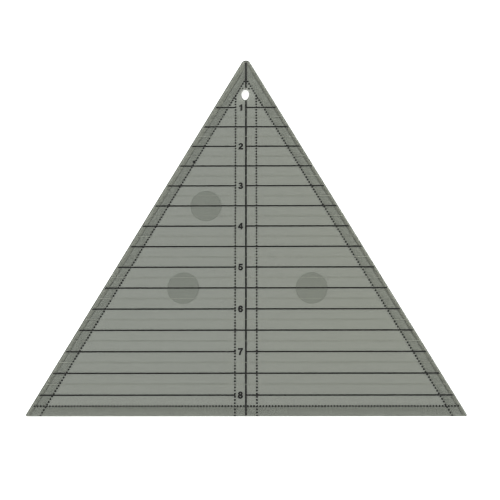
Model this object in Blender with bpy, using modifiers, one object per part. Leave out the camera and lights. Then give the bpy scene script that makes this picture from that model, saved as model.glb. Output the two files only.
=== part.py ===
"""Quilting ruler: an equilateral acrylic triangle, printed and fitted with grip spots on its underside.

The ruler lies flat. +X is to the right and +Y is towards the apex for someone reading it from above,
and +Z is up. The origin is at the middle of the outline, on the surface that the ruler lies on.
"""

import math

import bmesh
import bpy

INCH = 0.0254
MM = 0.001

# The cut sheet
HALF_APEX_ANGLE = math.radians(30)
FULL_HEIGHT = 8.8 * INCH  # from the base edge to the apex, where the slanted edges would meet
SHEET_THICKNESS = 3.0 * MM
BASE_CORNER_RADIUS = 0.8 * MM
TIP_RADIUS = 3.0 * MM
CORNER_STEPS = 12
ARC_DEGREES = 15
HOLE_WIDTH = 4.8 * MM
HOLE_LENGTH = 8.0 * MM
HOLE_X = -0.4 * MM
HOLE_FROM_APEX = 1.0 * INCH
HOLE_STEPS = 48

# The print is measured from its own apex, which is this far from the cut one. The line of numeral n
# lies n + 1/4 inches below it. The seam tint surrounds a triangle that is given by its top and base
PRINT_SHIFT = -1.8 * MM
NUMERAL_OFFSET = 0.25 * INCH
SEAM_TRIANGLE_TOP = 0.5 * INCH
SEAM_TRIANGLE_BASE = 8.493 * INCH
LAST_NUMERAL = 8
CENTRE_LINE_WIDTH = 1.0 * MM
INCH_LINE_WIDTH = 0.8 * MM
QUARTER_LINE_WIDTH = 0.35 * MM
NUMERAL_HEIGHT = 3.9 * MM
NUMERAL_SPREAD = 0.14 * MM  # how far a numeral's strokes spread on each side of their outline
NUMERAL_X = -0.128 * INCH
NUMERAL_GAP_X = -0.24 * INCH  # whole-inch lines stop here, to leave room for their numeral
PRINT_MARGIN = 0.4 * MM  # from the print to a cut edge
HOLE_MARGIN = 0.05 * MM  # from the print to the rim of the hole

# The grip spots: centre X and distance below the print's apex
GRIP_DIAMETER = 19.0 * MM
GRIP_BEVEL = 0.06 * MM
GRIP_SIDES = 72
GRIPS = {
    "grip_upper_left": (-0.966 * INCH, 3.75 * INCH),
    "grip_lower_left": (-1.49 * INCH, 5.75 * INCH),
    "grip_lower_right": (1.56 * INCH, 5.75 * INCH),
}

# Layers, from the table up: each has its lowest and highest Z, with 0.04 mm between neighbours
GRIP_LAYER = (0.0, 0.20 * MM)
TINT_LAYER = (0.14 * MM, 0.20 * MM)
BLACK_LAYER = (0.24 * MM, 0.30 * MM)
WHITE_LAYER = (0.34 * MM, 0.40 * MM)
SHEET_LAYER = (0.44 * MM, 0.44 * MM + SHEET_THICKNESS)

# The rounded tip is one radius below the apex
BASE_Y = -(FULL_HEIGHT - TIP_RADIUS) / 2
APEX_Y = BASE_Y + FULL_HEIGHT
PRINT_APEX_Y = APEX_Y + PRINT_SHIFT
HOLE_Y = APEX_Y - HOLE_FROM_APEX


def clear_scene():
    for obj in list(bpy.data.objects):
        bpy.data.objects.remove(obj, do_unlink=True)


def make_material(name, colour, roughness, alpha=1.0):
    material = bpy.data.materials.new(name)
    material.use_nodes = True
    shader = material.node_tree.nodes["Principled BSDF"]
    shader.inputs["Base Color"].default_value = (*colour, 1.0)
    shader.inputs["Roughness"].default_value = roughness
    shader.inputs["Metallic"].default_value = 0.0
    shader.inputs["Alpha"].default_value = alpha
    material.diffuse_color = (*colour, alpha)
    return material


def line_y(numeral):
    return PRINT_APEX_Y - numeral * INCH - NUMERAL_OFFSET


def half_width(y, inset=PRINT_MARGIN):
    """Half the width of the sheet at y, measured between lines inset from its slanted edges."""
    return (APEX_Y - inset / math.sin(HALF_APEX_ANGLE) - y) * math.tan(HALF_APEX_ANGLE)


def sheet_loop(inset):
    """The sheet's outline with its rounded corners, inset from its edges."""
    base = BASE_Y + inset
    apex = APEX_Y - inset / math.sin(HALF_APEX_ANGLE)
    half = half_width(base, inset)
    corners = (
        (-half, base, BASE_CORNER_RADIUS - inset, 210),
        (half, base, BASE_CORNER_RADIUS - inset, 330),
        (0, apex, TIP_RADIUS - inset, 90),
    )
    points = []
    for x, y, radius, outward in corners:
        centre_x = x - 2 * radius * math.cos(math.radians(outward))
        centre_y = y - 2 * radius * math.sin(math.radians(outward))
        for step in range(CORNER_STEPS + 1):
            angle = math.radians(outward - 60 + 120 * step / CORNER_STEPS)
            point_x = centre_x + radius * math.cos(angle)
            point_y = centre_y + radius * math.sin(angle)
            points.append((point_x, point_y))
    return points


def seam_triangle_loop():
    """The triangle of the stitching lines, which the seam tint surrounds."""
    top = PRINT_APEX_Y - SEAM_TRIANGLE_TOP
    base = PRINT_APEX_Y - SEAM_TRIANGLE_BASE
    half = (top - base) * math.tan(HALF_APEX_ANGLE)
    return [(-half, base), (half, base), (0, top)]


def hole_loop():
    points = []
    for step in range(HOLE_STEPS):
        angle = math.tau * step / HOLE_STEPS
        x = HOLE_X + HOLE_WIDTH / 2 * math.cos(angle)
        y = HOLE_Y + HOLE_LENGTH / 2 * math.sin(angle)
        points.append((x, y))
    return points


def box_loop(left, right, low, high):
    return [(left, low), (right, low), (right, high), (left, high)]


def line_edges(numeral, width):
    """The lower and upper Y of a line across the ruler."""
    return line_y(numeral) - width / 2, line_y(numeral) + width / 2


def inch_line_loop(numeral):
    """A whole-inch line's left part, from the slanted edge to the room that is left for its numeral."""
    low, high = line_edges(numeral, INCH_LINE_WIDTH)
    return [(-half_width(low), low), (NUMERAL_GAP_X, low), (NUMERAL_GAP_X, high), (-half_width(high), high)]


def quarter_line_loop(numeral):
    """A quarter-inch line, from one slanted edge to the other."""
    low, high = line_edges(numeral, QUARTER_LINE_WIDTH)
    left = [(-half_width(high), high), (-half_width(low), low)]
    right = [(half_width(low), low), (half_width(high), high)]
    return left + right


def grid_loop():
    """The centre line below the hole, with the lines that branch off it: every half-inch line to the
    right, and to the left the ones with no numeral."""
    half = CENTRE_LINE_WIDTH / 2
    hole_end = HOLE_Y - HOLE_LENGTH / 2 - HOLE_MARGIN
    points = [(half, BASE_Y + PRINT_MARGIN)]
    for halves in range(2 * LAST_NUMERAL, 1, -1):
        low, high = line_edges(halves / 2, INCH_LINE_WIDTH)
        points += [(half, low), (half_width(low), low), (half_width(high), high), (half, high)]
    points += [(half, hole_end), (-half, hole_end)]
    for halves in range(3, 2 * LAST_NUMERAL, 2):
        low, high = line_edges(halves / 2, INCH_LINE_WIDTH)
        points += [(-half, high), (-half_width(high), high), (-half_width(low), low), (-half, low)]
    points.append((-half, BASE_Y + PRINT_MARGIN))
    return points


def add_flat(name, loops, layer, material, collection, spread=0.0):
    """A flat piece cut to the first loop, with the other loops as holes in it, grown by spread."""
    curve = bpy.data.curves.new(name, "CURVE")
    curve.dimensions = "2D"
    curve.fill_mode = "BOTH"
    curve.extrude = (layer[1] - layer[0]) / 2
    curve.offset = spread
    for loop in loops:
        spline = curve.splines.new("POLY")
        spline.points.add(len(loop) - 1)
        for point, (x, y) in zip(spline.points, loop):
            point.co = (x, y, 0, 1)
        spline.use_cyclic_u = True
    curve.materials.append(material)
    piece = bpy.data.objects.new(name, curve)
    piece.location.z = (layer[0] + layer[1]) / 2
    collection.objects.link(piece)


def arc(centre, radii, start, end):
    """Points on an ellipse from one angle to another, in degrees, one about every 15."""
    steps = max(round(abs(end - start) / ARC_DEGREES), 1)
    points = []
    for step in range(steps + 1):
        angle = math.radians(start + (end - start) * step / steps)
        x = centre[0] + radii[0] * math.cos(angle)
        y = centre[1] + radii[1] * math.sin(angle)
        points.append((x, y))
    return points


def ring(centre, radii):
    return arc(centre, radii, 0, 360 - ARC_DEGREES)


def numeral_loops():
    """Outlines of bold upright numerals one unit high. A numeral's first loop is its outside, and the
    others are the counters inside it."""
    one = [(0.27, 0), (0.47, 0), (0.47, 1), (0.32, 1), (0.25, 0.86), (0.08, 0.81), (0.08, 0.67)]
    one += [(0.27, 0.67)]

    two = [(0, 0), (0.67, 0), (0.67, 0.18), (0.29, 0.18), (0.54, 0.42)]
    two += arc((0.34, 0.68), (0.33, 0.32), -30, 175)
    two += arc((0.34, 0.68), (0.135, 0.15), 170, -25)
    two += [(0.36, 0.50), (0.08, 0.26)]

    three = arc((0.33, 0.735), (0.30, 0.265), 165, -40)
    three += arc((0.34, 0.29), (0.34, 0.29), 40, -170)
    three += arc((0.34, 0.29), (0.145, 0.135), -165, 80)
    three += [(0.24, 0.45), (0.24, 0.60)]
    three += arc((0.33, 0.735), (0.115, 0.12), -75, 160)

    four = [(0.40, 0), (0.59, 0), (0.59, 0.21), (0.70, 0.21), (0.70, 0.37), (0.59, 0.37), (0.59, 1)]
    four += [(0.41, 1), (0, 0.40), (0, 0.21), (0.40, 0.21)]
    four_counter = [(0.155, 0.37), (0.405, 0.37), (0.405, 0.74)]

    five = [(0.63, 1), (0.11, 1), (0.02, 0.44), (0.19, 0.42)]
    five += arc((0.33, 0.32), (0.145, 0.155), 125, -160)
    five += arc((0.33, 0.32), (0.34, 0.32), -170, 115)
    five += [(0.25, 0.83), (0.63, 0.83)]

    six = arc((0.37, 0.50), (0.36, 0.50), 25, 265)
    six += arc((0.35, 0.32), (0.34, 0.32), -90, 113)
    six += arc((0.37, 0.50), (0.16, 0.34), 158, 25)
    six_counter = ring((0.355, 0.32), (0.14, 0.16))

    seven = [(0, 1), (0, 0.82), (0.46, 0.82), (0.24, 0.46), (0.12, 0), (0.33, 0), (0.43, 0.44)]
    seven += [(0.67, 0.84), (0.67, 1)]

    eight = arc((0.35, 0.74), (0.30, 0.26), -52, 232)
    eight += arc((0.35, 0.29), (0.34, 0.29), 124, 416)
    eight_counters = [ring((0.35, 0.74), (0.115, 0.115)), ring((0.35, 0.29), (0.145, 0.135))]
    return {
        1: [one],
        2: [two],
        3: [three],
        4: [four, four_counter],
        5: [five],
        6: [six, six_counter],
        7: [seven],
        8: [eight, *eight_counters],
    }


def add_numeral(numeral, loops, material, collection):
    """A printed numeral, centred on its inch line."""
    left = min(x for x, _ in loops[0])
    right = max(x for x, _ in loops[0])
    placed = []
    for loop in loops:
        points = []
        for x, y in loop:
            across = NUMERAL_X + (x - (left + right) / 2) * NUMERAL_HEIGHT
            along = line_y(numeral) + (y - 0.5) * NUMERAL_HEIGHT
            points.append((across, along))
        placed.append(points)
    name = f"numeral_{numeral}"
    add_flat(name, placed, BLACK_LAYER, material, collection, NUMERAL_SPREAD)


def add_grip(name, x, y, material, collection):
    mesh = bpy.data.meshes.new(name)
    shape = bmesh.new()
    bmesh.ops.create_cone(
        shape,
        cap_ends=True,
        segments=GRIP_SIDES,
        radius1=GRIP_DIAMETER / 2,
        radius2=GRIP_DIAMETER / 2,
        depth=GRIP_LAYER[1] - GRIP_LAYER[0],
    )
    shape.to_mesh(mesh)
    shape.free()
    mesh.materials.append(material)
    piece = bpy.data.objects.new(name, mesh)
    piece.location = (x, y, (GRIP_LAYER[0] + GRIP_LAYER[1]) / 2)
    collection.objects.link(piece)
    bevel = piece.modifiers.new("Rounded rim", "BEVEL")
    bevel.width = GRIP_BEVEL
    bevel.segments = 2
    bevel.limit_method = "ANGLE"
    mesh.shade_smooth()
    mesh.set_sharp_from_angle(angle=math.radians(40))


def build():
    clear_scene()
    ruler = bpy.data.collections.new("quilting_ruler")
    bpy.context.scene.collection.children.link(ruler)
    acrylic = make_material("Acrylic", (0.28, 0.30, 0.265), 0.05, alpha=0.5)
    grip = make_material("Grip", (0.21, 0.22, 0.20), 0.9)
    tint = make_material("Seam tint", (0.19, 0.21, 0.18), 0.4, alpha=0.5)
    black = make_material("Black ink", (0.012, 0.012, 0.011), 0.35)
    white = make_material("White ink", (0.62, 0.62, 0.58), 0.4)

    add_flat("acrylic_blank", [sheet_loop(0), hole_loop()], SHEET_LAYER, acrylic, ruler)
    for name, (x, from_apex) in GRIPS.items():
        add_grip(name, x, PRINT_APEX_Y - from_apex, grip, ruler)
    tint_loops = [sheet_loop(PRINT_MARGIN), seam_triangle_loop()]
    add_flat("seam_tint", tint_loops, TINT_LAYER, tint, ruler)

    half = CENTRE_LINE_WIDTH / 2
    tip_low = HOLE_Y + HOLE_LENGTH / 2 + HOLE_MARGIN
    tip_high = APEX_Y - TIP_RADIUS - PRINT_MARGIN
    tip_loop = box_loop(-half, half, tip_low, tip_high)
    add_flat("centre_line_tip", [tip_loop], BLACK_LAYER, black, ruler)
    add_flat("black_grid", [grid_loop()], BLACK_LAYER, black, ruler)
    numerals = numeral_loops()
    for numeral in range(1, LAST_NUMERAL + 1):
        name = f"inch_line_left_{numeral}"
        add_flat(name, [inch_line_loop(numeral)], BLACK_LAYER, black, ruler)
        add_numeral(numeral, numerals[numeral], black, ruler)
    for quarters in range(5, 4 * LAST_NUMERAL, 2):
        name = f"quarter_line_{quarters // 4}_{quarters % 4 * 25}"
        add_flat(name, [quarter_line_loop(quarters / 4)], WHITE_LAYER, white, ruler)


build()
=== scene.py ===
"""The quilting ruler's looks: a polished sheet of smoke-tinted acrylic with its print and its grip
spots on the underside, lying on a pale floor in soft studio light. Lengths are in metres."""

import math
import random

import bmesh
import bpy
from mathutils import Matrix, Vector, noise


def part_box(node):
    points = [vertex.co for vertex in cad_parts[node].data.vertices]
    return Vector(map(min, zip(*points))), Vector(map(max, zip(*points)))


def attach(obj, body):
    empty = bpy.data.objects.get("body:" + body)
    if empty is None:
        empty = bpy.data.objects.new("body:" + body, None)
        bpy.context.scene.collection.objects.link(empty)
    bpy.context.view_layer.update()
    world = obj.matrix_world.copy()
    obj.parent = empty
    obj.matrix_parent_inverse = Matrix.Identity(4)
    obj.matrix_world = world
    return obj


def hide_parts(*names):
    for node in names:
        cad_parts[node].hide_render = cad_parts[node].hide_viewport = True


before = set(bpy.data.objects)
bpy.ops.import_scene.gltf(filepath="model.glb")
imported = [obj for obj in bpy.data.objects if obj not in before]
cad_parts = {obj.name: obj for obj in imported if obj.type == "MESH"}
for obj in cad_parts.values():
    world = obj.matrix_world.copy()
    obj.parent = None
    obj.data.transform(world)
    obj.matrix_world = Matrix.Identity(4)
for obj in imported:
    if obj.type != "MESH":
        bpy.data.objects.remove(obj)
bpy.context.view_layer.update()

INCH = 0.0254
MM = 0.001

# The sheet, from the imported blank: its box, and the corner and hole sizes that the box doesn't give
SHEET_LOW, SHEET_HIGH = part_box("acrylic_blank")
BASE_Y = SHEET_LOW.y
HALF_ANGLE = math.radians(30)
BASE_CORNER_RADIUS = 0.8 * MM
TIP_RADIUS = 3.0 * MM
APEX_Y = SHEET_HIGH.y + TIP_RADIUS  # where the slanted edges would meet
HOLE_RADII = (2.4 * MM, 4.0 * MM)
HOLE_CENTRE = (-0.4 * MM, APEX_Y - 1.0 * INCH)
CORNER_STEPS = 28
HOLE_STEPS = 96
ARRIS = 0.16 * MM

# The print. It is measured from its own apex, which the inch lines fix: line n is n + 1/4 inches
# below it
LINE_LOW, LINE_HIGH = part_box("inch_line_left_1")
PRINT_APEX_Y = (LINE_LOW.y + LINE_HIGH.y) / 2 + 1.25 * INCH
BLACK_LOW, BLACK_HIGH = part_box("black_grid")
TINT_LOW, TINT_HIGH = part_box("seam_tint")
TINT_EDGE_GAP = 0.08 * MM  # from the tint to the cut edge

DOT_RADIUS = 0.57 * MM
DOT_PITCH = 0.0712 * INCH
DOT_SIDES = 14
DOT_EDGE_GAP = 0.10 * MM  # a dot at a cut edge is cut off this far inside it
BASE_STITCH_FROM_APEX = 8.5 * INCH
BASE_STITCH_FIRST_X = 0.0464 * INCH
TRIM_LINE_X = 0.2547 * INCH
TRIM_LINE_START = 0.956 * INCH
SLANT_STITCH_APEX = 0.5 * INCH
SLANT_STITCH_FIRST = 0.011 * INCH
TOP_DOTS_FROM_APEX = 0.76 * INCH
TOP_DOTS_X = 0.0735 * INCH
DOT_LAYER = (BLACK_LOW.z + 0.01 * MM, BLACK_HIGH.z - 0.01 * MM)

# Painted shadow: a black hairline beside each slanted edge stands for the shadow of the cut edge. How far
# inside the edge it lies at the base and near the tip, and its width
EDGE_SHADOW_LINES = {
    "left": (2.05 * MM, 3.0 * MM, 0.14 * MM),
    "right": (1.95 * MM, 1.95 * MM, 0.14 * MM),
}
EDGE_SHADOW_BASE_GAP = 0.6 * MM
EDGE_SHADOW_APEX_GAP = 9 * MM
EDGE_SHADOW_LAYER = (TINT_HIGH.z + 0.005 * MM, BLACK_LOW.z - 0.005 * MM)

# One stray spot of ink
BLOT_X = -1.268 * INCH
BLOT_FROM_APEX = 2.644 * INCH
BLOT_RADII = (0.75 * MM, 0.85 * MM)
BLOT_STEPS = 28
BLOT_LAYER = (BLACK_LOW.z + 0.005 * MM, BLACK_HIGH.z - 0.005 * MM)

GRIP_NODES = ("grip_upper_left", "grip_lower_left", "grip_lower_right")
GRIP_RINGS = 34
GRIP_SEGMENTS = 128
GRIP_RIM = 0.07 * MM
GRIP_GRAIN = 0.055 * MM  # how deep the grit goes
GRIP_GRAINS = 2900.0  # in a metre

ACRYLIC_IOR = 1.49

# The studio
SOFTBOX_SIZE = 1.4
KEY_PLACE, KEY_POWER = (-2.0, -1.0, 1.5), 95.0
FILL_PLACE, FILL_POWER = (2.0, 1.0, 1.5), 72.0
WORLD_RISE = (0.15, 0.95)  # the heights between which the world dims
WORLD_STRENGTH = (1.1, 0.5)  # below and above them
FLOOR_REACH = 4.0
FLOOR_TOP = -0.02 * MM
CAMERA_LENS = 56.74
CAMERA_PLACE = (0.00624, -0.09832, 0.47208)
CAMERA_TURN = (math.radians(10.46), math.radians(0.466), math.radians(-0.05))
PIXEL_FILTER_WIDTH = 1.15

SEED = 12


# ---------------------------------------------------------------- node trees

class Tree:
    """A material's node tree, with short calls for the nodes used here."""

    def __init__(self, name):
        self.material = bpy.data.materials.new(name)
        self.material.use_nodes = True
        self.nodes = self.material.node_tree.nodes
        self.links = self.material.node_tree.links
        self.nodes.clear()

    def add(self, kind, inputs=None, **settings):
        """A node with its settings and inputs. An input is a plain value or another node's output."""
        node = self.nodes.new(kind)
        for key, value in settings.items():
            setattr(node, key, value)
        for key, value in (inputs or {}).items():
            if isinstance(value, bpy.types.NodeSocket):
                self.links.new(value, node.inputs[key])
            else:
                node.inputs[key].default_value = value
        return node

    def place(self, scale):
        """Object coordinates stretched by scale along X, Y and Z."""
        where = self.add("ShaderNodeTexCoord").outputs["Object"]
        return self.add("ShaderNodeMapping", {"Vector": where, "Scale": scale}).outputs[0]

    def grain(self, scale, detail=3.0, stretch=(1, 1, 1), roughness=0.55):
        """Noise from 0 to 1, of about scale bumps in a metre."""
        inputs = {
            "Vector": self.place(stretch),
            "Scale": scale,
            "Detail": detail,
            "Roughness": roughness,
        }
        return self.add("ShaderNodeTexNoise", inputs).outputs[0]

    def span(self, value, low, high, start=0.0, end=1.0):
        """Value from start to end, taken to low to high."""
        inputs = {0: value, 1: start, 2: end, 3: low, 4: high}
        return self.add("ShaderNodeMapRange", inputs).outputs[0]

    def blend(self, share, first, second):
        """A colour between two colours."""
        return self.add("ShaderNodeMix", {0: share, 6: first, 7: second}, data_type="RGBA").outputs[2]

    def maths(self, operation, first, second):
        return self.add("ShaderNodeMath", {0: first, 1: second}, operation=operation).outputs[0]

    def bump(self, height, strength, distance):
        inputs = {"Height": height, "Strength": strength, "Distance": distance}
        return self.add("ShaderNodeBump", inputs).outputs[0]

    def principled(self, inputs):
        return self.add("ShaderNodeBsdfPrincipled", inputs).outputs[0]

    def finish(self, surface):
        output = self.add("ShaderNodeOutputMaterial")
        self.links.new(surface, output.inputs["Surface"])
        return self.material


def lets_light_through(tree, glass, tint):
    """Glass for the camera, and a plain tint for the rays that light what lies below it."""
    path = tree.add("ShaderNodeLightPath")
    lit = tree.maths("MAXIMUM", path.outputs["Is Shadow Ray"], path.outputs["Is Diffuse Ray"])
    clear = tree.add("ShaderNodeBsdfTransparent", {"Color": tint}).outputs[0]
    return tree.add("ShaderNodeMixShader", {0: lit, 1: glass, 2: clear}).outputs[0]


def acrylic_face_material():
    """The polished faces: a grey-green smoke tint, slightly uneven and a little darker towards the base
    edge, with painted light that turns it a little yellower towards the right, and with the fine scratches
    of use.
    """
    tree = Tree("acrylic_polished")
    clouds = tree.grain(9.0, detail=2.0)
    split = tree.add("ShaderNodeSeparateXYZ", {0: tree.place((1, 1, 1))})
    left = tree.blend(clouds, (0.407, 0.421, 0.396, 1), (0.419, 0.433, 0.408, 1))
    right = tree.blend(clouds, (0.419, 0.430, 0.393, 1), (0.431, 0.442, 0.405, 1))
    # Painted light: the tint turns a little yellower towards the right
    painted_light_across = tree.span(split.outputs[0], 0.0, 1.0, -0.03, 0.06)
    # A little darker towards the base edge
    low = tree.span(split.outputs[1], 1.0, 0.0, -0.11, -0.07)
    colour = tree.blend(low, tree.blend(painted_light_across, left, right), (0.394, 0.405, 0.379, 1))
    scratches = tree.span(tree.grain(260.0, detail=6.0, stretch=(0.03, 1, 1)), 0, 1, 0.60, 0.72)
    handling = tree.grain(38.0, detail=4.0)
    worn = tree.maths("MULTIPLY", scratches, handling)
    rough = tree.span(worn, 0.02, 0.07)
    relief = tree.bump(worn, 0.05, 0.00002)
    glass = tree.principled({
        "Base Color": colour,
        "Roughness": rough,
        "IOR": ACRYLIC_IOR,
        "Transmission Weight": 1.0,
        "Normal": relief,
    })
    return tree.finish(lets_light_through(tree, glass, (0.645, 0.656, 0.634, 1)))


def acrylic_wall_material():
    """The cut edges: the same plastic seen along its depth, so darker, with fine upright marks."""
    tree = Tree("acrylic_cut_edge")
    marks = tree.grain(2400.0, detail=3.0, stretch=(1, 1, 0.05))
    depth = tree.grain(60.0, detail=2.0)
    colour = tree.blend(depth, (0.150, 0.162, 0.136, 1), (0.205, 0.219, 0.186, 1))
    glass = tree.principled({
        "Base Color": colour,
        "Roughness": tree.span(marks, 0.18, 0.34),
        "IOR": ACRYLIC_IOR,
        "Transmission Weight": 0.55,
        "Normal": tree.bump(marks, 0.25, 0.00003),
    })
    return tree.finish(lets_light_through(tree, glass, (0.95, 0.955, 0.94, 1)))


def black_ink_material():
    """Opaque screen-printed ink, satin, with a faint orange-peel surface."""
    tree = Tree("black_screen_ink")
    mottle = tree.grain(900.0, detail=3.0)
    peel = tree.grain(5200.0, detail=2.0)
    shader = tree.principled({
        "Base Color": tree.blend(mottle, (0.006, 0.006, 0.006, 1), (0.016, 0.016, 0.015, 1)),
        "Roughness": tree.span(peel, 0.34, 0.52),
        "Normal": tree.bump(peel, 0.3, 0.00001),
    })
    return tree.finish(shader)


def white_ink_material():
    """The thin white quarter lines, a little uneven where the ink ran thin."""
    tree = Tree("white_screen_ink")
    thin = tree.grain(700.0, detail=4.0)
    peel = tree.grain(5200.0, detail=2.0)
    shader = tree.principled({
        "Base Color": tree.blend(thin, (0.68, 0.68, 0.64, 1), (0.84, 0.84, 0.81, 1)),
        "Roughness": tree.span(peel, 0.36, 0.55),
        "Normal": tree.bump(peel, 0.3, 0.00001),
    })
    return tree.finish(shader)


def beside_edge(tree, x, y, sign, limit):
    """1 within limit of one slanted edge of the sheet, and 0 further in."""
    down = tree.maths("MULTIPLY", tree.maths("SUBTRACT", APEX_Y, y), math.sin(HALF_ANGLE))
    depth = tree.maths("SUBTRACT", down, tree.maths("MULTIPLY", x, sign * math.cos(HALF_ANGLE)))
    return tree.maths("LESS_THAN", depth, limit)


def seam_tint_and_edge_shade_material():
    """The see-through grey print that marks the seam allowance: a thin haze over a tinted clear film.
    Between each painted shadow hairline and the cut edge the film is denser, as painted shade of the cut
    edge. The margin is darker on the right, and on the left it turns lighter towards the tip, as painted
    light falling from the left."""
    tree = Tree("seam_tint_and_edge_shade_film")
    split = tree.add("ShaderNodeSeparateXYZ", {0: tree.place((1, 1, 1))})
    x, y = split.outputs[0], split.outputs[1]
    haze = tree.grain(420.0, detail=3.0)
    sides = tree.blend(haze, (0.931, 0.933, 0.927, 1), (0.947, 0.949, 0.943, 1))
    base = tree.span(y, 1.0, 0.0, BASE_Y + 5.5 * MM, BASE_Y + 7.0 * MM)
    film = tree.blend(base, sides, (0.926, 0.928, 0.922, 1))
    # Painted shade of the cut edge on the left, with painted light that makes it lighter towards the tip
    rise = tree.span(y, 0.0, 1.0, -0.10, 0.07)
    painted_shade_left = tree.blend(rise, (0.872, 0.872, 0.858, 1), (0.918, 0.917, 0.902, 1))
    limit = tree.span(y, EDGE_SHADOW_LINES["left"][0], EDGE_SHADOW_LINES["left"][1], BASE_Y, APEX_Y)
    film = tree.blend(beside_edge(tree, x, y, -1, limit), film, painted_shade_left)
    # Painted shade of the cut edge on the right, darker than on the left
    limit = EDGE_SHADOW_LINES["right"][0]
    film = tree.blend(beside_edge(tree, x, y, 1, limit), film, (0.855, 0.855, 0.838, 1))
    clear = tree.add("ShaderNodeBsdfTransparent", {"Color": film}).outputs[0]
    body = tree.principled({
        "Base Color": tree.blend(haze, (0.16, 0.17, 0.15, 1), (0.22, 0.23, 0.20, 1)),
        "Roughness": tree.span(haze, 0.40, 0.60),
    })
    surface = tree.add("ShaderNodeMixShader", {0: 0.04, 1: clear, 2: body}).outputs[0]
    return tree.finish(surface)


def grip_material():
    """A milky silicone film filled with fine grit."""
    tree = Tree("gritty_silicone")
    grit = tree.add("ShaderNodeTexVoronoi", {"Vector": tree.place((1, 1, 1)), "Scale": 2600.0}).outputs[0]
    cloud = tree.grain(160.0, detail=4.0)
    pale = tree.blend(cloud, (0.58, 0.59, 0.57, 1), (0.65, 0.66, 0.64, 1))
    grains = tree.span(grit, 0.0, 0.22, 0.15, 0.65)
    shader = tree.principled({
        "Base Color": tree.blend(grains, pale, (0.42, 0.43, 0.41, 1)),
        "Roughness": tree.span(grit, 0.70, 0.95),
        "Normal": tree.bump(grit, 0.35, 0.00004),
    })
    return tree.finish(shader)


def floor_material():
    """A pale, matte studio surface with a barely uneven coat."""
    tree = Tree("pale_floor")
    coat = tree.grain(14.0, detail=3.0)
    shader = tree.principled({
        "Base Color": tree.blend(coat, (0.80, 0.80, 0.80, 1), (0.815, 0.815, 0.812, 1)),
        "Roughness": 0.9,
        "Specular IOR Level": 0.1,
    })
    return tree.finish(shader)


# ---------------------------------------------------------------- outlines

def half_width(y, inset):
    """Half the sheet's width at y, measured between lines inset from its slanted edges."""
    return (APEX_Y - inset / math.sin(HALF_ANGLE) - y) * math.tan(HALF_ANGLE)


def sheet_loop(inset):
    """The sheet's outline with its rounded corners, inset from its edges."""
    base = BASE_Y + inset
    half = half_width(base, inset)
    corners = (
        (-half, base, BASE_CORNER_RADIUS - inset, 210),
        (half, base, BASE_CORNER_RADIUS - inset, 330),
        (0, APEX_Y - inset / math.sin(HALF_ANGLE), TIP_RADIUS - inset, 90),
    )
    points = []
    for x, y, radius, outward in corners:
        way = math.radians(outward)
        centre_x = x - 2 * radius * math.cos(way)
        centre_y = y - 2 * radius * math.sin(way)
        for step in range(CORNER_STEPS + 1):
            angle = way + math.radians(-60 + 120 * step / CORNER_STEPS)
            points.append((centre_x + radius * math.cos(angle), centre_y + radius * math.sin(angle)))
    return points


def stitch_loop():
    """The triangle of the stitching lines."""
    top = PRINT_APEX_Y - SLANT_STITCH_APEX
    base = PRINT_APEX_Y - BASE_STITCH_FROM_APEX
    half = (top - base) * math.tan(HALF_ANGLE)
    return [(-half, base), (half, base), (0, top)]


def ellipse_loop(centre, radii, steps):
    points = []
    for step in range(steps):
        angle = math.tau * step / steps
        points.append((centre[0] + radii[0] * math.cos(angle), centre[1] + radii[1] * math.sin(angle)))
    return points


def inside_sheet(x, y, gap):
    """The point itself, or the nearest one that lies gap inside the cut edges."""
    y = max(y, BASE_Y + gap)
    over = (abs(x) - half_width(y, gap)) * math.cos(HALF_ANGLE)
    if over > 0:
        x -= math.copysign(over * math.cos(HALF_ANGLE), x)
        y -= over * math.sin(HALF_ANGLE)
    return x, max(y, BASE_Y + gap)


# ---------------------------------------------------------------- pieces

def keep(piece, slot, *nodes):
    """Puts a finished piece on the ruler, in place of the CAD nodes that it stands for."""
    if piece.name not in bpy.context.scene.collection.objects:
        bpy.context.scene.collection.objects.link(piece)
    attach(piece, "root")
    if nodes:
        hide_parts(*nodes)
    return piece


def flat_curve(name, loops, low, high):
    """A flat piece between two heights, cut to closed loops."""
    curve = bpy.data.curves.new(name, "CURVE")
    curve.dimensions = "2D"
    curve.fill_mode = "BOTH"
    curve.extrude = (high - low) / 2
    for loop in loops:
        spline = curve.splines.new("POLY")
        spline.points.add(len(loop) - 1)
        for point, (x, y) in zip(spline.points, loop):
            point.co = (x, y, 0, 1)
        spline.use_cyclic_u = True
    piece = bpy.data.objects.new(name + "_curve", curve)
    piece.location.z = (low + high) / 2
    bpy.context.scene.collection.objects.link(piece)
    return piece


def as_mesh(name, source):
    """The mesh of a curve object, welded and in place, as a new object. The curve is removed."""
    graph = bpy.context.evaluated_depsgraph_get()
    mesh = bpy.data.meshes.new_from_object(source.evaluated_get(graph))
    mesh.name = name
    mesh.transform(source.matrix_world)
    work = bmesh.new()
    work.from_mesh(mesh)
    bmesh.ops.remove_doubles(work, verts=work.verts, dist=0.000002)
    bmesh.ops.recalc_face_normals(work, faces=work.faces)
    work.to_mesh(mesh)
    work.free()
    bpy.data.objects.remove(source)
    return bpy.data.objects.new(name, mesh)


def flat_piece(name, loops, low, high, *materials):
    """A flat mesh between two heights, cut to closed loops, with its materials."""
    source = flat_curve(name, loops, low, high)
    bpy.context.view_layer.update()
    piece = as_mesh(name, source)
    piece.data.materials.clear()
    for material in materials:
        piece.data.materials.append(material)
    return piece


def ease_edges(mesh, width):
    """Rounds the long edges between a flat piece's level faces and its walls."""
    work = bmesh.new()
    work.from_mesh(mesh)
    rims = []
    for edge in work.edges:
        level = [abs(face.normal.z) > 0.9 for face in edge.link_faces]
        if len(level) == 2 and level[0] != level[1]:
            rims.append(edge)
    bmesh.ops.bevel(work, geom=rims, offset=width, segments=2, profile=0.5, affect="EDGES")
    bmesh.ops.recalc_face_normals(work, faces=work.faces)
    work.to_mesh(mesh)
    work.free()


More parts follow.
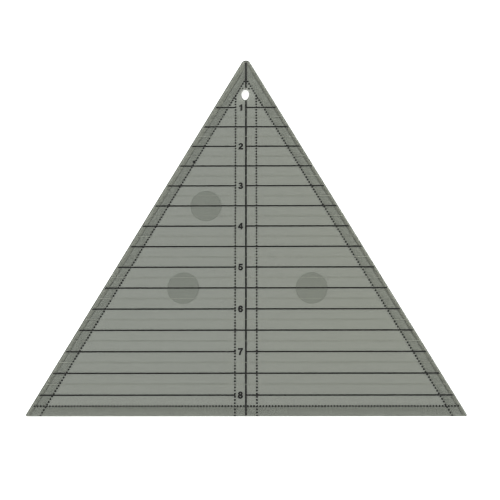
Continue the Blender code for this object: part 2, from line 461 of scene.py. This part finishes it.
def make_sheet(face, wall):
    """The blank, with eased arrises. Its faces are polished and its cut edges are satin."""
    hole = ellipse_loop(HOLE_CENTRE, HOLE_RADII, HOLE_STEPS)
    loops = [sheet_loop(0), hole]
    piece = flat_piece("acrylic_sheet", loops, SHEET_LOW.z, SHEET_HIGH.z, face, wall)
    mesh = piece.data
    ease_edges(mesh, ARRIS)
    for polygon in mesh.polygons:
        polygon.material_index = 0 if abs(polygon.normal.z) > 0.999 else 1
    mesh.set_sharp_from_angle(angle=math.radians(15))  # smooth, but sharp between the arris's facets
    return keep(piece, "acrylic", "acrylic_blank")


def make_seam_band(material):
    """The seam allowance's tint: from just inside the cut edges to the triangle of the stitching lines."""
    loops = [sheet_loop(TINT_EDGE_GAP), stitch_loop()]
    piece = flat_piece("seam_band", loops, TINT_LOW.z, TINT_HIGH.z, material)
    return keep(piece, "seam_tint", "seam_tint")


def add_disc(work, x, y, radius, low, high, gap):
    """A printed dot: a low disc, cut off where it would pass the sheet's edge."""
    rims = []
    for z in (low, high):
        rim = []
        for px, py in ellipse_loop((x, y), (radius, radius), DOT_SIDES):
            rim.append(work.verts.new((*inside_sheet(px, py, gap), z)))
        rims.append(rim)
    work.faces.new(list(reversed(rims[0])))
    work.faces.new(rims[1])
    for i in range(DOT_SIDES):
        j = (i + 1) % DOT_SIDES
        work.faces.new((rims[0][i], rims[0][j], rims[1][j], rims[1][i]))


def make_dots(name, points, material):
    """Printed dots with their centres at the points."""
    work = bmesh.new()
    draw = random.Random(SEED)
    for x, y in points:
        add_disc(work, x, y, DOT_RADIUS * draw.uniform(0.96, 1.04), *DOT_LAYER, DOT_EDGE_GAP)
    mesh = bpy.data.meshes.new(name)
    work.to_mesh(mesh)
    work.free()
    mesh.materials.append(material)
    return keep(bpy.data.objects.new(name, mesh), "black_ink")


def make_dotted_line(name, start, way, first, material):
    """Dots in a straight line from start along way, from the distance first until they leave the sheet."""
    points = []
    along = first
    while True:
        x = start[0] + way[0] * along
        y = start[1] + way[1] * along
        if y < BASE_Y or abs(x) > half_width(y, 0):
            break
        points.append((x, y))
        along += DOT_PITCH
    return make_dots(name, points, material)


def make_dotted_lines(material):
    """The stitching line inside each edge, a trimming line on each side of the centre line, and the dots
    that close the stitching lines' apex above the hole."""
    slant_x = math.sin(HALF_ANGLE)
    slant_y = -math.cos(HALF_ANGLE)
    for side, sign in (("left", -1), ("right", 1)):
        apex = (0, PRINT_APEX_Y - SLANT_STITCH_APEX)
        way = (sign * slant_x, slant_y)
        make_dotted_line(f"stitch_line_{side}", apex, way, SLANT_STITCH_FIRST, material)
        top = (sign * TRIM_LINE_X, PRINT_APEX_Y)
        make_dotted_line(f"trim_line_{side}", top, (0, -1), TRIM_LINE_START, material)
        base = (0, PRINT_APEX_Y - BASE_STITCH_FROM_APEX)
        make_dotted_line(f"stitch_line_base_{side}", base, (sign, 0), BASE_STITCH_FIRST_X, material)
        top_dot = (sign * TOP_DOTS_X, PRINT_APEX_Y - TOP_DOTS_FROM_APEX)
        make_dots(f"top_dot_{side}", [top_dot], material)


def make_edge_shadow_lines(material):
    """A black hairline beside each slanted edge, painted as the shadow of the cut edge."""
    base = BASE_Y + EDGE_SHADOW_BASE_GAP
    tip = APEX_Y - EDGE_SHADOW_APEX_GAP
    for side, (base_inset, tip_inset, width) in EDGE_SHADOW_LINES.items():
        sign = -1 if side == "left" else 1
        loop = []
        for y, inset in (
            (base, base_inset + width / 2),
            (base, base_inset - width / 2),
            (tip, tip_inset - width / 2),
            (tip, tip_inset + width / 2),
        ):
            loop.append((sign * half_width(y, inset), y))
        keep(flat_piece(f"edge_line_{side}", [loop], *EDGE_SHADOW_LAYER, material), "black_ink")


def make_grip(node, material):
    """A grip spot: flat where it is stuck on, with a rounded rim and a gritty face towards the table."""
    low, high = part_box(node)
    centre = (low + high) / 2
    radius = (high.x - low.x) / 2
    work = bmesh.new()
    sides = []
    for z, face in ((high.z, 1), (low.z, -1)):
        rings = [[work.verts.new((centre.x, centre.y, z))]]
        for ring in range(1, GRIP_RINGS + 1):
            reach = radius * ring / GRIP_RINGS
            turned = math.tau * (ring % 2) / (2 * GRIP_SEGMENTS)
            drop = max(reach - (radius - GRIP_RIM), 0) * 0.7
            points = []
            for segment in range(GRIP_SEGMENTS):
                angle = math.tau * segment / GRIP_SEGMENTS + turned
                x = centre.x + reach * math.cos(angle)
                y = centre.y + reach * math.sin(angle)
                grit = 0.0
                if face < 0 and ring < GRIP_RINGS:
                    grain = noise.noise(Vector((x, y, 0)) * GRIP_GRAINS) + 0.6
                    grit = GRIP_GRAIN * min(max(grain, 0.0), 1.0)
                points.append(work.verts.new((x, y, z - face * drop - face * grit)))
            rings.append(points)
        for i in range(GRIP_SEGMENTS):
            j = (i + 1) % GRIP_SEGMENTS
            corners = (rings[0][0], rings[1][i], rings[1][j])
            work.faces.new(corners if face > 0 else corners[::-1])
            for inner, outer in zip(rings[1:], rings[2:]):
                corners = (inner[i], outer[i], outer[j], inner[j])
                work.faces.new(corners if face > 0 else corners[::-1])
        sides.append(rings[-1])
    for i in range(GRIP_SEGMENTS):
        j = (i + 1) % GRIP_SEGMENTS
        work.faces.new((sides[1][i], sides[1][j], sides[0][j], sides[0][i]))
    name = node.replace("grip", "grip_spot")
    mesh = bpy.data.meshes.new(name)
    work.to_mesh(mesh)
    work.free()
    mesh.shade_smooth()
    mesh.materials.append(material)
    return keep(bpy.data.objects.new(name, mesh), "grip", node)


def make_blot(material):
    """A spot of stray ink with an uneven edge."""
    y = PRINT_APEX_Y - BLOT_FROM_APEX
    loop = []
    for px, py in ellipse_loop((0, 0), (1, 1), BLOT_STEPS):
        where = Vector((px * 1.7 + BLOT_X / INCH, py * 1.7, BLOT_FROM_APEX / INCH))
        ragged = 1 + 0.35 * noise.noise(where)
        loop.append((BLOT_X + px * BLOT_RADII[0] * ragged, y + py * BLOT_RADII[1] * ragged))
    return keep(flat_piece("ink_blot", [loop], *BLOT_LAYER, material), "black_ink")


def paint_nodes(black, white):
    """The print's CAD nodes keep their shape and take the looks of ink."""
    for name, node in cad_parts.items():
        if node.hide_render:
            continue
        ink = white if name.startswith("quarter_line") else black
        for material_slot in node.material_slots:
            material_slot.material = ink


# ---------------------------------------------------------------- studio

def make_world():
    """Even light from all round, a little dimmer overhead, which keeps the polished face's gloss low."""
    world = bpy.data.worlds.new("studio")
    bpy.context.scene.world = world
    world.use_nodes = True
    nodes = world.node_tree.nodes
    links = world.node_tree.links
    nodes.clear()
    where = nodes.new("ShaderNodeTexCoord")
    split = nodes.new("ShaderNodeSeparateXYZ")
    rise = nodes.new("ShaderNodeMapRange")
    rise.interpolation_type = "SMOOTHSTEP"
    for index, value in enumerate(WORLD_RISE + WORLD_STRENGTH, 1):
        rise.inputs[index].default_value = value
    background = nodes.new("ShaderNodeBackground")
    background.inputs["Color"].default_value = (1.0, 1.0, 1.0, 1)
    output = nodes.new("ShaderNodeOutputWorld")
    links.new(where.outputs["Generated"], split.inputs[0])
    links.new(split.outputs["Z"], rise.inputs[0])
    links.new(rise.outputs[0], background.inputs["Strength"])
    links.new(background.outputs[0], output.inputs["Surface"])


def make_softbox(name, place, power):
    """A large square lamp that looks at the ruler."""
    lamp = bpy.data.lights.new(name, "AREA")
    lamp.shape = "SQUARE"
    lamp.size = SOFTBOX_SIZE
    lamp.energy = power
    box = bpy.data.objects.new(name, lamp)
    box.location = place
    box.rotation_mode = "QUATERNION"
    box.rotation_quaternion = (-Vector(place)).to_track_quat("-Z", "Y")
    bpy.context.scene.collection.objects.link(box)


def make_floor(material):
    """A wide level surface just under the grip spots."""
    work = bmesh.new()
    bmesh.ops.create_grid(work, x_segments=24, y_segments=24, size=FLOOR_REACH)
    mesh = bpy.data.meshes.new("floor")
    work.to_mesh(mesh)
    work.free()
    mesh.materials.append(material)
    floor = bpy.data.objects.new("floor", mesh)
    floor.location.z = FLOOR_TOP
    bpy.context.scene.collection.objects.link(floor)


def make_camera():
    """Above the middle of the base edge and tipped towards the apex, as one holds it over a table."""
    lens = bpy.data.cameras.new("camera")
    lens.lens = CAMERA_LENS
    lens.sensor_width = 36.0
    lens.clip_start = 0.02
    lens.clip_end = 50.0
    camera = bpy.data.objects.new("camera", lens)
    camera.location = CAMERA_PLACE
    camera.rotation_euler = CAMERA_TURN
    bpy.context.scene.collection.objects.link(camera)
    bpy.context.scene.camera = camera


def build():
    make_camera()
    black = black_ink_material()
    make_sheet(acrylic_face_material(), acrylic_wall_material())
    make_seam_band(seam_tint_and_edge_shade_material())
    make_dotted_lines(black)
    # Painted shadow: black hairlines beside the slanted edges stand for the shadow of the cut edges
    make_edge_shadow_lines(black)
    grip = grip_material()
    for node in GRIP_NODES:
        make_grip(node, grip)
    make_blot(black)
    paint_nodes(black, white_ink_material())
    make_world()
    make_softbox("key_softbox", KEY_PLACE, KEY_POWER)
    make_softbox("fill_softbox", FILL_PLACE, FILL_POWER)
    make_floor(floor_material())
    bpy.context.scene.view_settings.view_transform = "Standard"
    bpy.context.scene.cycles.filter_width = PIXEL_FILTER_WIDTH


build()
